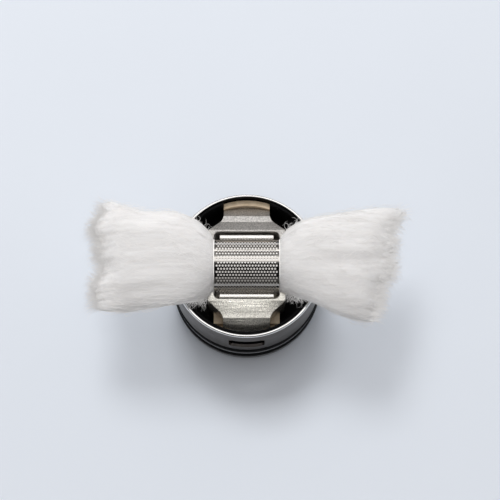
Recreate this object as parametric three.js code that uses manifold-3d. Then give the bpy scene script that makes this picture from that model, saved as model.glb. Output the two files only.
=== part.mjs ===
// Plug-in build deck of a rebuildable atomizer: a low steel cup on two O-rings, two clamp posts inside it,
// and a perforated mesh strip arched over a cotton wick between the posts.
// Millimetres, +Z up. The origin is on the cup's axis, in the plane that the base stands on.
// X runs along the wick, and +Y points to the rear (positive) post.
import * as THREE from 'three';
import { mergeVertices } from 'three/addons/utils/BufferGeometryUtils.js';
import Module from 'manifold-3d';

const wasm = await Module();
wasm.setup();

// ---- driving dimensions ----
const ROUND_STEPS = 48; // around the cup
const HOLE_STEPS = 16; // around screws and their holes
const FIT = 0.05; // running clearance between neighbours

const rimZ = 9.0;
const wallOuterR = 7.9;
const wallInnerR = 7.58;
const wallFootZ = 3.8;
const rimChamfer = 0.15;

const windowWide = 3.8;
const windowLowZ = 4.9;
const windowHighZ = 7.25;
const windowCornerR = 0.45;

const flangeTopZ = 0.7;
const landLowZ = 2.0;
const landHighZ = 2.5;
const grooveR = 6.75;
const baseTopZ = 4.5;
const oringR = 0.62;
const oringCentreR = wallOuterR + 0.1 - oringR;

const floorZ = 4.9; // top of the liner's floor, where the posts stand
const linerOuterR = 7.5;
const linerInnerR = 7.2;
const linerTopZ = 8.85;

const slotHalf = 3.5; // half width of the clamp slot
const slotInnerY = 2.8;
const slotOuterY = 3.7;
const slotFloorZ = 5.15;
const slotCornerR = 0.6;
const earY = 3.0;
const jawInnerY = 2.3;
const jawTopZ = 7.9;
const wingHalf = 4.05; // half width of a post beside its slot
const neckHalf = 2.45; // half width of a post near the wall
const postOuterR = 6.85;
const footLong = 2.0;
const footHalf = 2.7;

const barHalf = 2.9;
const barInnerY = 3.0;
const barOuterY = 3.48;
const barLowZ = 5.3;
const barTopZ = 8.55;

const screwR = 0.8; // clamp screws, and the thread of the centre pin
const clampScrewZ = 6.1;
const clampHeadR = 1.05;
const clampHeadInnerY = 6.05;
const clampHeadOuterY = 6.65;
const postScrewR = 0.7;
const postScrewX = 1.65;
const postScrewY = 4.7;
const postScrewHeadR = 1.25;
const postScrewTopZ = 6.2;
const driveWide = 0.3;

const padInnerR = 6.9;
const padOuterR = 7.48;
const rearPadTopZ = 8.1;
const frontPadTopZ = 6.5;
const padFootZ = 5.15;
const padFootOuterR = 7.15;
const cheekHalf = 3.5;
const cheekInnerY = 4.2;
const cheekOuterY = 5.6;
const cheekTopZ = 6.0;

const meshWide = 6.8;
const meshOuterR = 2.95;
const meshThick = 0.1;
const coilZ = 8.2; // axis of the mesh arch
const meshFootZ = 5.9;

const pinHeadR = 1.6;
const pinShankR = 1.0;
const bushFlangeR = 2.3;
const bushR = 1.7;
const tongueHalf = 1.5;
const tongueTopZ = 5.6;

// ---- solids from three.js geometry ----

/** Welds a geometry's vertices and turns it into a solid with its faces pointing out. */
function solidOf(geometry) {
  const bare = geometry.clone();
  bare.deleteAttribute('normal');
  bare.deleteAttribute('uv');
  const welded = mergeVertices(bare, 1e-5);
  const points = welded.attributes.position.array;
  const faces = [];
  const index = welded.index.array;
  for (let i = 0; i < index.length; i += 3) {
    const [a, b, c] = index.slice(i, i + 3);
    if (a !== b && b !== c && c !== a) {
      faces.push([a, b, c]);
    }
  }
  const corner = (n) => new THREE.Vector3().fromArray(points, 3 * n);
  const volume = faces.reduce((sum, [a, b, c]) => sum + corner(a).dot(corner(b).cross(corner(c))), 0);
  const outward = volume > 0 ? faces : faces.map(([a, b, c]) => [a, c, b]);
  const mesh = new wasm.Mesh({
    numProp: 3,
    vertProperties: new Float32Array(points),
    triVerts: new Uint32Array(outward.flat()),
  });
  mesh.merge();
  return new wasm.Manifold(mesh);
}

/** Turns a solid back into a geometry. */
function geometryOf(solid) {
  const mesh = solid.getMesh();
  const geometry = new THREE.BufferGeometry();
  geometry.setAttribute('position', new THREE.BufferAttribute(mesh.vertProperties, 3));
  geometry.setIndex(new THREE.BufferAttribute(mesh.triVerts, 1));
  geometry.computeVertexNormals();
  return geometry;
}

/** A solid turned about the Z axis from a closed profile of [radius, height] points. */
function turned(profile, steps = ROUND_STEPS) {
  const points = [...profile, profile[0]].map(([r, z]) => new THREE.Vector2(r, z));
  return solidOf(new THREE.LatheGeometry(points, steps).rotateX(Math.PI / 2));
}

/** A cylinder along Z between two heights. */
function discZ(radius, lowZ, highZ, x = 0, y = 0) {
  const geometry = new THREE.CylinderGeometry(radius, radius, highZ - lowZ, HOLE_STEPS);
  return solidOf(geometry.rotateX(Math.PI / 2).translate(x, y, (lowZ + highZ) / 2));
}

/** A cylinder along Y between two depths. */
function discY(radius, lowY, highY, z) {
  const geometry = new THREE.CylinderGeometry(radius, radius, highY - lowY, HOLE_STEPS);
  return solidOf(geometry.translate(0, (lowY + highY) / 2, z));
}

/** A box from its low and high corners. */
function block([x0, y0, z0], [x1, y1, z1]) {
  const geometry = new THREE.BoxGeometry(x1 - x0, y1 - y0, z1 - z0);
  return solidOf(geometry.translate((x0 + x1) / 2, (y0 + y1) / 2, (z0 + z1) / 2));
}

/** A plan outline (x, y) raised from one height to another. */
function raised(shape, lowZ, highZ, curveSegments = 8) {
  const geometry = new THREE.ExtrudeGeometry(shape, { depth: highZ - lowZ, bevelEnabled: false, curveSegments });
  return solidOf(geometry.translate(0, 0, lowZ));
}

/** A side outline (y, z) run along X, from -half to +half. */
function acrossX(shape, half, curveSegments = 8) {
  const geometry = new THREE.ExtrudeGeometry(shape, { depth: 2 * half, bevelEnabled: false, curveSegments });
  const toX = new THREE.Matrix4().makeBasis(
    new THREE.Vector3(0, 1, 0),
    new THREE.Vector3(0, 0, 1),
    new THREE.Vector3(1, 0, 0),
  );
  return solidOf(geometry.applyMatrix4(toX).translate(-half, 0, 0));
}

/** A front outline (x, z) run along Y between two depths. */
function acrossY(shape, lowY, highY, curveSegments = 6) {
  const geometry = new THREE.ExtrudeGeometry(shape, { depth: highY - lowY, bevelEnabled: false, curveSegments });
  return solidOf(geometry.rotateX(Math.PI / 2).translate(0, highY, 0));
}

/** A rectangle with rounded corners, as a shape. */
function roundedRect(x0, y0, x1, y1, r) {
  const shape = new THREE.Shape();
  shape.moveTo(x0 + r, y0);
  shape.lineTo(x1 - r, y0);
  shape.absarc(x1 - r, y0 + r, r, -Math.PI / 2, 0, false);
  shape.lineTo(x1, y1 - r);
  shape.absarc(x1 - r, y1 - r, r, 0, Math.PI / 2, false);
  shape.lineTo(x0 + r, y1);
  shape.absarc(x0 + r, y1 - r, r, Math.PI / 2, Math.PI, false);
  shape.lineTo(x0, y0 + r);
  shape.absarc(x0 + r, y0 + r, r, Math.PI, 1.5 * Math.PI, false);
  return shape;
}

const cutAll = (solid, ...tools) => tools.reduce((left, tool) => left.subtract(tool), solid);
const joinAll = (first, ...rest) => rest.reduce((sum, next) => sum.add(next), first);
const turnAround = (solid) => solidOf(geometryOf(solid).rotateZ(Math.PI));

// ---- materials ----
const finishes = {
  brushed_steel: { color: 0x9a9896, roughness: 0.35, metalness: 1 },
  polished_steel: { color: 0xc9c7c3, roughness: 0.15, metalness: 1 },
  mesh_alloy: { color: 0xb5b1aa, roughness: 0.3, metalness: 1 },
  gold_plate: { color: 0xd6a94e, roughness: 0.25, metalness: 1 },
  peek: { color: 0x96856e, roughness: 0.6, metalness: 0 },
  black_plastic: { color: 0x0c0c0d, roughness: 0.5, metalness: 0 },
  black_rubber: { color: 0x111112, roughness: 0.55, metalness: 0 },
  cotton: { color: 0xf1f1f0, roughness: 1, metalness: 0 },
};

const deck = new THREE.Group();

/** Adds a named piece to the deck. */
function addPiece(name, solid, finish) {
  const mesh = new THREE.Mesh(geometryOf(solid), new THREE.MeshStandardMaterial(finishes[finish]));
  mesh.name = name;
  deck.add(mesh);
}

// ---- cup: base, sleeve, liner and O-rings ----

function windowCutters() {
  const half = windowWide / 2;
  const outline = roundedRect(-half, windowLowZ, half, windowHighZ, windowCornerR);
  return [acrossY(outline, -9, -7), acrossY(outline, 7, 9)];
}

function deckBase() {
  const edge = 0.15;
  const body = turned([
    [bushFlangeR + FIT, 0],
    [wallOuterR - edge, 0],
    [wallOuterR, edge],
    [wallOuterR, flangeTopZ - edge],
    [wallOuterR - edge, flangeTopZ],
    [grooveR, flangeTopZ],
    [grooveR, landLowZ],
    [wallOuterR - edge / 2, landLowZ],
    [wallOuterR, landLowZ + edge / 2],
    [wallOuterR, landHighZ],
    [grooveR, landHighZ],
    [grooveR, wallFootZ],
    [wallInnerR - FIT, wallFootZ],
    [wallInnerR - FIT, baseTopZ],
    [bushR + FIT, baseTopZ],
    [bushR + FIT, 1.65],
    [bushFlangeR + FIT, 1.65],
  ]);
  const holes = [];
  for (const x of [-postScrewX, postScrewX]) {
    holes.push(discZ(postScrewR + 0.1, -1, 5, x, -postScrewY));
    holes.push(discZ(postScrewHeadR + 0.1, -1, 1.15, x, -postScrewY));
    holes.push(discZ(1.2, -1, 5, x, postScrewY));
    holes.push(discZ(1.5, -1, 1.5, x, postScrewY));
  }
  return cutAll(body, ...holes);
}

function deckSleeve() {
  const wall = turned([
    [wallInnerR, wallFootZ],
    [wallOuterR, wallFootZ],
    [wallOuterR, rimZ - rimChamfer],
    [wallOuterR - rimChamfer / 2, rimZ],
    [wallInnerR, rimZ],
  ]);
  return cutAll(wall, ...windowCutters());
}

/** The black cup inside the wall, with a pocket for each pad and an opening for the front post's foot. */
function wellLiner() {
  const cup = turned([
    [bushR + FIT, baseTopZ],
    [linerOuterR, baseTopZ],
    [linerOuterR, linerTopZ],
    [linerInnerR, linerTopZ],
    [linerInnerR, floorZ],
    [bushR + FIT, floorZ],
  ]);
  const frontHalf = cheekHalf + FIT;
  const rearHalf = neckHalf + FIT;
  const footY = postScrewY - footLong / 2;
  const cutters = [
    block([-frontHalf, -8, floorZ], [frontHalf, -5, windowHighZ + FIT]),
    block([-rearHalf, 5, floorZ], [rearHalf, 8, rearPadTopZ + FIT]),
    block([-footHalf - FIT, -footY - footLong - FIT, 4], [footHalf + FIT, -footY + FIT, 6]),
  ];
  for (const x of [-postScrewX, postScrewX]) {
    cutters.push(discZ(postScrewR + FIT, 4, 6, x, postScrewY));
  }
  return cutAll(cup, ...cutters);
}

function oring(centreZ) {
  const sides = 8;
  const profile = [];
  for (let n = 0; n < sides; n += 1) {
    const a = ((n + 0.5) / sides) * 2 * Math.PI;
    const reach = oringR / Math.cos(Math.PI / sides);
    profile.push([oringCentreR + reach * Math.cos(a), centreZ + reach * Math.sin(a)]);
  }
  return turned(profile);
}

// ---- posts, built as the rear one (+Y); the front one is turned round ----

/** Half of a post's plan on +X, mirrored: wide beside the slot, then a filleted step to a narrow neck. */
function postPlan() {
  const neckEndY = Math.sqrt(postOuterR ** 2 - neckHalf ** 2);
  const endAngle = Math.acos(neckHalf / postOuterR);
  const shape = new THREE.Shape();
  shape.moveTo(-wingHalf, jawInnerY);
  shape.lineTo(wingHalf, jawInnerY);
  shape.lineTo(wingHalf, slotOuterY + 0.2);
  shape.lineTo(neckHalf + 0.4, 4.9);
  shape.quadraticCurveTo(neckHalf, 5.3, neckHalf, 5.8);
  shape.lineTo(neckHalf, neckEndY);
  shape.absarc(0, 0, postOuterR, endAngle, Math.PI - endAngle, false);
  shape.lineTo(-neckHalf, 5.8);
  shape.quadraticCurveTo(-neckHalf, 5.3, -neckHalf - 0.4, 4.9);
  shape.lineTo(-wingHalf, slotOuterY + 0.2);
  return shape;
}

/** A post's side outline: a lip at the rim's height, a slope down to a step, and a steeper slope at the wall. */
function postSide() {
  const shape = new THREE.Shape();
  shape.moveTo(jawInnerY - 1, floorZ - 1);
  shape.lineTo(8, floorZ - 1);
  shape.lineTo(8, rimZ - 2.5);
  shape.lineTo(5.6, rimZ - 0.57);
  shape.lineTo(4.94, rimZ - 0.57);
  shape.lineTo(slotOuterY + 0.19, rimZ);
  shape.lineTo(jawInnerY - 1, rimZ);
  return shape;
}

function clampPost() {
  const body = raised(postPlan(), floorZ, rimZ).intersect(acrossX(postSide(), 5));
  const slot = roundedRect(-slotHalf, slotInnerY - slotCornerR, slotHalf, slotOuterY, slotCornerR);
  const slotCut = raised(slot, slotFloorZ, rimZ + 1).subtract(block([-5, 0, 0], [5, slotInnerY, 10]));
  const cutters = [
    slotCut,
    block([-5, 0, jawTopZ], [5, earY, 10]),
    discY(screwR + FIT, slotOuterY - 0.1, 7, clampScrewZ),
    discY(clampHeadR + 0.1, clampHeadInnerY - FIT, 7.5, clampScrewZ),
  ];
  for (const side of [-1, 1]) {
    const outer = [Math.min(side * slotHalf, side * 5), Math.max(side * slotHalf, side * 5)];
    cutters.push(block([outer[0], 0, floorZ - 1], [outer[1], earY, 10]));
    cutters.push(discZ(postScrewR + FIT, floorZ - 1, postScrewTopZ + 0.1, side * postScrewX, postScrewY));
  }
  return cutAll(body, ...cutters);
}

/** The positive post reaches in under the wick, where the centre pin screws into it. */
function postRear() {
  const tongue = block([-tongueHalf, -tongueHalf, floorZ], [tongueHalf, jawInnerY + 0.2, tongueTopZ]);
  return clampPost().add(tongue).subtract(discZ(screwR + FIT, 4, 6));
}

/** The negative post stands on the steel base through an opening in the liner's floor, between its pad's cheeks. */
function postFront() {
  const footY = postScrewY - footLong / 2;
  const foot = block([-footHalf, footY, baseTopZ], [footHalf, footY + footLong, floorZ]);
  const cutters = [];
  for (const side of [-1, 1]) {
    cutters.push(discZ(postScrewR + FIT, 4, 6, side * postScrewX, postScrewY));
    const [lowX, highX] = [Math.min(side * neckHalf, side * 5), Math.max(side * neckHalf, side * 5)];
    cutters.push(block([lowX, cheekInnerY - FIT, floorZ], [highX, 8, cheekTopZ + FIT]));
  }
  return turnAround(cutAll(clampPost().add(foot), ...cutters));
}

// ---- clamp bars and their screws ----

function clampBar() {
  const outline = roundedRect(-barHalf, barLowZ, barHalf, barTopZ, 0.12);
  return acrossY(outline, barInnerY, barOuterY, 3);
}

function clampScrew() {
  const body = discY(screwR, barOuterY + 0.02, clampHeadInnerY + 0.1, clampScrewZ);
  const head = discY(clampHeadR, clampHeadInnerY, clampHeadOuterY, clampScrewZ);
  const half = driveWide / 2;
  const drive = block([-2, clampHeadOuterY - 0.3, clampScrewZ - half], [2, 8, clampScrewZ + half]);
  return body.add(head).subtract(drive);
}

// ---- insulating pads behind the posts ----

function sector(innerR, outerR, half, lowZ, highZ) {
  const ring = turned([[innerR, lowZ], [outerR, lowZ], [outerR, highZ], [innerR, highZ]]);
  return ring.intersect(block([-half, 0, lowZ - 1], [half, 9, highZ + 1]));
}

/** What is cut from a pad so that its clamp screw can be reached through the window. */
function screwView(lowZ) {
  const half = windowWide / 2 + FIT;
  return block([-half, 6, lowZ], [half, 9, windowHighZ]);
}

function rearPad() {
  return sector(padInnerR, padOuterR, neckHalf, floorZ, rearPadTopZ).subtract(screwView(floorZ - 1));
}

/** The front pad also has a cheek on each side of its post, joined to it along the floor. */
function frontPad() {
  const parts = [
    sector(padInnerR, padOuterR, neckHalf, floorZ, frontPadTopZ),
    sector(padInnerR, padFootOuterR, cheekHalf, floorZ, padFootZ),
  ];
  for (const side of [-1, 1]) {
    const inner = side * (neckHalf + FIT);
    const outer = side * cheekHalf;
    const [lowX, highX] = [Math.min(inner, outer), Math.max(inner, outer)];
    parts.push(block([lowX, cheekInnerY, floorZ], [highX, cheekOuterY, cheekTopZ]));
    parts.push(block([lowX, cheekInnerY, floorZ], [highX, 6.6, padFootZ]));
  }
  return turnAround(joinAll(...parts).subtract(screwView(padFootZ)));
}

// ---- mesh strip and wick ----

function meshStrip() {
  const innerR = meshOuterR - meshThick;
  const shape = new THREE.Shape();
  shape.moveTo(meshOuterR, meshFootZ);
  shape.absarc(0, coilZ, meshOuterR, 0, Math.PI, false);
  shape.lineTo(-meshOuterR, meshFootZ);
  shape.lineTo(-innerR, meshFootZ);
  shape.absarc(0, coilZ, innerR, Math.PI, 0, true);
  shape.lineTo(innerR, meshFootZ);
  return acrossX(shape, meshWide / 2, 32);
}

/** Stations along the wick: x, middle y, half width, bottom z, top z. It is pinched where the mesh holds it. */
const wickStations = [
  [-16.1, 0.5, 5.9, 8.9, 10.6],
  [-14.4, 0.4, 5.95, 8.2, 11.5],
  [-12.8, 0.1, 5.5, 8.3, 12.1],
  [-10.8, 0, 5.2, 8.8, 12.4],
  [-8.4, 0.3, 5.3, 9.1, 12.5],
  [-7.0, 0.25, 5.1, 8.9, 12.4],
  [-5.6, 0.15, 4.6, 8.2, 12.1],
  [-4.7, 0.1, 4.15, 7.3, 11.8],
  [-3.95, 0, 3.5, 6.3, 11.4],
  [-3.6, 0, 2.8, 5.75, 11.0],
  [3.6, 0, 2.8, 5.75, 11.0],
  [3.95, 0, 3.5, 6.3, 11.4],
  [4.7, 0.1, 4.05, 7.3, 11.8],
  [5.6, 0.15, 4.4, 8.2, 12.1],
  [7.2, 0.05, 4.8, 8.9, 12.4],
  [8.7, -0.25, 5.3, 9.1, 12.5],
  [10.2, -0.4, 5.7, 8.8, 12.4],
  [12.0, -0.5, 6.0, 8.4, 12.1],
  [13.6, -0.6, 6.2, 8.2, 11.6],
  [15.2, -0.6, 6.1, 8.9, 10.6],
];
const wickEndSlant = 0.22; // the +X end is cut at a slant in plan
const slantFromX = 8;

/** The wick's section at a share of the way along its stations. */
function wickAt(share) {
  const place = share * (wickStations.length - 1);
  const before = Math.min(Math.floor(place), wickStations.length - 2);
  const [low, high] = [wickStations[before], wickStations[before + 1]];
  return low.map((value, n) => value + (place - before) * (high[n] - value));
}

/** The space that a post and its jaw take under the wick, with room to spare. */
function postSpace(side) {
  const room = 0.1;
  const span = (innerY) => [Math.min(side * innerY, side * 8), Math.max(side * innerY, side * 8)];
  const ears = span(earY - room);
  const jaws = span(jawInnerY - room);
  return [
    block([-wingHalf - room, ears[0], 0], [wingHalf + room, ears[1], rimZ + room]),
    block([-slotHalf - room, jaws[0], 0], [slotHalf + room, jaws[1], jawTopZ + room]),
  ];
}

function cottonWick() {
  const rings = wickStations.length - 1;
  const geometry = new THREE.CylinderGeometry(1, 1, 1, 28, rings).rotateZ(-Math.PI / 2);
  const places = geometry.attributes.position;
  const lastX = wickStations.at(-1)[0];
  for (let n = 0; n < places.count; n += 1) {
    const [x, middleY, halfWide, bottomZ, topZ] = wickAt(places.getX(n) + 0.5);
    const y = middleY + halfWide * places.getY(n);
    const z = (bottomZ + topZ) / 2 + ((topZ - bottomZ) / 2) * places.getZ(n);
    const slant = wickEndSlant * Math.max(0, (x - slantFromX) / (lastX - slantFromX)) * y;
    places.setXYZ(n, x + slant, y, z);
  }
  return cutAll(solidOf(geometry), ...postSpace(-1), ...postSpace(1));
}

// ---- centre pin, its bush, and the screws that hold the posts ----

function centerPin() {
  const body = turned(
    [
      [0, 0.1],
      [pinHeadR - 0.15, 0.1],
      [pinHeadR, 0.25],
      [pinHeadR, 1.2],
      [pinShankR, 1.2],
      [pinShankR, floorZ - FIT],
      [screwR, floorZ - FIT],
      [screwR, tongueTopZ - FIT],
      [0, tongueTopZ - FIT],
    ],
    HOLE_STEPS * 2,
  );
  return body.subtract(block([-3, -driveWide, -1], [3, driveWide, 0.5]));
}

function pinInsulator() {
  return turned(
    [
      [pinShankR + FIT, 1.25],
      [pinHeadR + FIT, 1.25],
      [pinHeadR + FIT, 0.1],
      [bushFlangeR, 0.1],
      [bushFlangeR, 1.6],
      [bushR, 1.6],
      [bushR, floorZ - FIT],
      [pinShankR + FIT, floorZ - FIT],
    ],
    HOLE_STEPS * 2,
  );
}

function postScrew(x, y) {
  const head = discZ(postScrewHeadR, 0.1, 1.1, x, y);
  const shank = discZ(postScrewR, 1.0, postScrewTopZ, x, y);
  const half = driveWide / 2;
  return head.add(shank).subtract(block([x - 2, y - half, -1], [x + 2, y + half, 0.45]));
}

function screwBush(x, y) {
  const flange = discZ(1.45, 1.13, 1.48, x, y);
  const sleeve = discZ(1.15, 1.4, baseTopZ - 0.02, x, y);
  return flange.add(sleeve).subtract(discZ(postScrewR + FIT, 0, 6, x, y));
}

// ---- assembly ----

addPiece('deck_base', deckBase(), 'polished_steel');
addPiece('deck_sleeve', deckSleeve(), 'brushed_steel');
addPiece('well_liner', wellLiner(), 'black_plastic');
addPiece('oring_lower', oring((flangeTopZ + landLowZ) / 2), 'black_rubber');
addPiece('oring_upper', oring((landHighZ + wallFootZ) / 2), 'black_rubber');

addPiece('post_rear', postRear(), 'brushed_steel');
addPiece('post_front', postFront(), 'brushed_steel');
addPiece('clamp_bar_rear', clampBar(), 'brushed_steel');
addPiece('clamp_bar_front', turnAround(clampBar()), 'brushed_steel');
addPiece('clamp_screw_rear', clampScrew(), 'polished_steel');
addPiece('clamp_screw_front', turnAround(clampScrew()), 'polished_steel');
addPiece('post_pad_rear', rearPad(), 'peek');
addPiece('post_pad_front', frontPad(), 'peek');

addPiece('mesh_strip', meshStrip(), 'mesh_alloy');
addPiece('cotton_wick', cottonWick(), 'cotton');

addPiece('center_pin', centerPin(), 'gold_plate');
addPiece('pin_insulator', pinInsulator(), 'peek');
for (const [side, sign] of [['left', -1], ['right', 1]]) {
  addPiece(`post_screw_front_${side}`, postScrew(sign * postScrewX, -postScrewY), 'polished_steel');
  addPiece(`post_screw_rear_${side}`, postScrew(sign * postScrewX, postScrewY), 'polished_steel');
  addPiece(`screw_bush_${side}`, screwBush(sign * postScrewX, postScrewY), 'peek');
}

export default deck;
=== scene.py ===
"""The looks of a mesh build deck with a cotton wick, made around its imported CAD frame.

Shapes are worked out in millimetres and turned into metres when a piece is made.
X runs along the wick, +Y points to the rear post, and +Z is up.
"""
import math

import bmesh
import bpy
import numpy as np
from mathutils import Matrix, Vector


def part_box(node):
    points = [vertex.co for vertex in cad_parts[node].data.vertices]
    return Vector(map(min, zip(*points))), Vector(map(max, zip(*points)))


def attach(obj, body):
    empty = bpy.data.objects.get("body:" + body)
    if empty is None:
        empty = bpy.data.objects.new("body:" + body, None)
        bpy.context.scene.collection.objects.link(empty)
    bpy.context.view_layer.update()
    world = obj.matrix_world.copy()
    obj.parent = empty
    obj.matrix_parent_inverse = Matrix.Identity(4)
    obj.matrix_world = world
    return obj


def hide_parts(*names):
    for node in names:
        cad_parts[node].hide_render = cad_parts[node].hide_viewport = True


MM = 0.001
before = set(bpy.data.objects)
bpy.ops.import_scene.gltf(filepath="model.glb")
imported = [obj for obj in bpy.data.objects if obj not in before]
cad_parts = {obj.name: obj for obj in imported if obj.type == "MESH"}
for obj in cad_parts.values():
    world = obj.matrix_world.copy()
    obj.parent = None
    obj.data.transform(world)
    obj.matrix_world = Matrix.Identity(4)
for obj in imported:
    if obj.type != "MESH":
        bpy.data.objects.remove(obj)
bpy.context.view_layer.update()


def box_mm(node):
    """A CAD node's lowest and highest corners, in millimetres."""
    low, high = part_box(node)
    return low / MM, high / MM


# ---- driving dimensions, in millimetres, read from the frame ----
sleeve_low, sleeve_high = box_mm("deck_sleeve")
base_high = box_mm("deck_base")[1]
strip_low, strip_high = box_mm("mesh_strip")
pin_low, pin_high = box_mm("center_pin")
bush_low, bush_high = box_mm("pin_insulator")
WALL_OUTER_R = sleeve_high.x
WALL_THICK = 0.32
WALL_INNER_R = WALL_OUTER_R - WALL_THICK
WALL_FOOT_Z = sleeve_low.z
RIM_Z = sleeve_high.z
BASE_TOP_Z = base_high.z
STRIP_OUTER_R = strip_high.y
STRIP_THICK = 0.07
COIL_Z = strip_high.z - STRIP_OUTER_R
COIL_BORE_R = STRIP_OUTER_R - 0.1
GROOVE_R = 6.75
FLANGE_TOP_Z = 0.7
LAND_Z = (2.0, 2.5)
WINDOW_HALF = 1.9
WINDOW_Z = (4.9, 7.25)
WINDOW_CORNER_R = 0.5
ROUND_STEPS = 192

# ---- mesh code helpers ----


def make_object(name, points, faces):
    """A new object, still in millimetres, with its faces pointing out."""
    mesh = bpy.data.meshes.new(name)
    mesh.from_pydata(points, [], faces)
    obj = bpy.data.objects.new(name, mesh)
    bpy.context.scene.collection.objects.link(obj)
    shell = bmesh.new()
    shell.from_mesh(mesh)
    bmesh.ops.recalc_face_normals(shell, faces=shell.faces)
    shell.to_mesh(mesh)
    shell.free()
    return obj


def apply_modifiers(obj):
    """Turns an object's modifiers into its own mesh."""
    depsgraph = bpy.context.evaluated_depsgraph_get()
    mesh = bpy.data.meshes.new_from_object(obj.evaluated_get(depsgraph))
    obj.modifiers.clear()
    obj.data = mesh


def bevel(obj, width, steps=2, from_angle=28):
    """Rounds the edges sharper than an angle in degrees."""
    modifier = obj.modifiers.new("edge", "BEVEL")
    modifier.width = width
    modifier.segments = steps
    modifier.limit_method = "ANGLE"
    modifier.angle_limit = math.radians(from_angle)
    modifier.harden_normals = False
    apply_modifiers(obj)


def cut(obj, *tools):
    """Cuts tools out of an object and removes them."""
    for tool in tools:
        modifier = obj.modifiers.new("cut", "BOOLEAN")
        modifier.operation = "DIFFERENCE"
        modifier.solver = "EXACT"
        modifier.object = tool
        apply_modifiers(obj)
        bpy.data.objects.remove(tool)


def to_metres(obj):
    """Scales a mesh from millimetres."""
    places = np.empty(3 * len(obj.data.vertices))
    obj.data.vertices.foreach_get("co", places)
    obj.data.vertices.foreach_set("co", places * MM)


def finish_piece(obj, body, material, replaces=(), smooth_angle=32):
    """Scales a piece to metres, shades it, gives it its material and hangs it on its body."""
    to_metres(obj)
    obj.data.polygons.foreach_set("use_smooth", [True] * len(obj.data.polygons))
    obj.data.set_sharp_from_angle(angle=math.radians(smooth_angle))
    obj.data.materials.clear()
    obj.data.materials.append(material)
    obj.data.update()
    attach(obj, body)
    if replaces:
        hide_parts(*replaces)
    return obj


def fillet(outline, radius, steps=3):
    """A closed outline with each corner rounded by a short curve."""
    rounded = []
    for n, corner in enumerate(outline):
        here = Vector(corner)
        before = Vector(outline[n - 1]) - here
        after = Vector(outline[(n + 1) % len(outline)]) - here
        reach = min(radius, 0.45 * before.length, 0.45 * after.length)
        start = here + before.normalized() * reach
        end = here + after.normalized() * reach
        for k in range(steps + 1):
            t = k / steps
            rounded.append(start * (1 - t) ** 2 + here * 2 * t * (1 - t) + end * t * t)
    return rounded


def lathe(name, outline, steps=ROUND_STEPS, about="Z"):
    """A ring turned from a closed outline of (radius, height), or a solid one if it starts on the axis."""
    count = len(outline)
    points = []
    for i in range(steps):
        turn = 2 * math.pi * i / steps
        for r, h in outline:
            x, y = r * math.cos(turn), r * math.sin(turn)
            points.append((x, y, h) if about == "Z" else (y, h, x))
    faces = []
    for i in range(steps):
        for j in range(count):
            k, m = (i + 1) % steps, (j + 1) % count
            faces.append((i * count + j, k * count + j, k * count + m, i * count + m))
    obj = make_object(name, points, faces)
    shell = bmesh.new()
    shell.from_mesh(obj.data)
    bmesh.ops.remove_doubles(shell, verts=shell.verts, dist=1e-5)
    bmesh.ops.recalc_face_normals(shell, faces=shell.faces)
    shell.to_mesh(obj.data)
    shell.free()
    return obj


def rounded_slab(name, half_wide, low, high, radius, reach):
    """A bar along Y, with a rounded rectangle in X and Z as its section."""
    middle = (low + high) / 2
    half_high = (high - low) / 2
    corners = [
        (-half_wide, -half_high),
        (half_wide, -half_high),
        (half_wide, half_high),
        (-half_wide, half_high),
    ]
    section = fillet(corners, radius, 6)
    count = len(section)
    points = [(p.x, y, middle + p.y) for y in (-reach, reach) for p in section]
    faces = [(n, (n + 1) % count, count + (n + 1) % count, count + n) for n in range(count)]
    faces += [tuple(range(count)), tuple(range(count, 2 * count))]
    return make_object(name, points, faces)


def block(name, low, high):
    """A plain block, used only to cut with."""
    points = [(x, y, z) for x in (low[0], high[0]) for y in (low[1], high[1]) for z in (low[2], high[2])]
    faces = [(0, 1, 3, 2), (4, 6, 7, 5), (0, 4, 5, 1), (2, 3, 7, 6), (0, 2, 6, 4), (1, 5, 7, 3)]
    return make_object(name, points, faces)


def from_cad(name, node, edge, steps=2):
    """A copy of a CAD node's shape in millimetres, with its flat faces joined up and its edges rounded."""
    shell = bmesh.new()
    shell.from_mesh(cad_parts[node].data)
    bmesh.ops.scale(shell, vec=(1 / MM, 1 / MM, 1 / MM), verts=shell.verts)
    bmesh.ops.remove_doubles(shell, verts=shell.verts, dist=2e-3)
    bmesh.ops.dissolve_limit(
        shell,
        angle_limit=math.radians(0.6),
        verts=shell.verts,
        edges=shell.edges,
        use_dissolve_boundaries=False,
    )
    mesh = bpy.data.meshes.new(name)
    shell.to_mesh(mesh)
    shell.free()
    obj = bpy.data.objects.new(name, mesh)
    bpy.context.scene.collection.objects.link(obj)
    if edge:
        bevel(obj, edge, steps)
    return obj


# ---- material helpers ----


def new_material(name, colour, roughness, metallic=0.0, **sockets):
    """A Principled material, with other sockets given by name, underscores for spaces."""
    material = bpy.data.materials.new(name)
    material.use_nodes = True
    shader = material.node_tree.nodes["Principled BSDF"]
    shader.inputs["Base Color"].default_value = (*colour, 1)
    shader.inputs["Roughness"].default_value = roughness
    shader.inputs["Metallic"].default_value = metallic
    for key, value in sockets.items():
        shader.inputs[key.replace("_", " ")].default_value = value
    return material


def noise_pattern(material, scale, detail=4.0, turn=(0, 0, 0), roughness=0.55):
    """The value of a noise stretched by scale (in waves per metre along X, Y and Z)."""
    nodes, links = material.node_tree.nodes, material.node_tree.links
    place = nodes.new("ShaderNodeTexCoord")
    mapping = nodes.new("ShaderNodeMapping")
    mapping.inputs["Rotation"].default_value = turn
    mapping.inputs["Scale"].default_value = scale
    texture = nodes.new("ShaderNodeTexNoise")
    texture.inputs["Scale"].default_value = 1.0
    texture.inputs["Detail"].default_value = detail
    texture.inputs["Roughness"].default_value = roughness
    links.new(place.outputs["Object"], mapping.inputs["Vector"])
    links.new(mapping.outputs["Vector"], texture.inputs["Vector"])
    return texture.outputs["Fac"]


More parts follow.
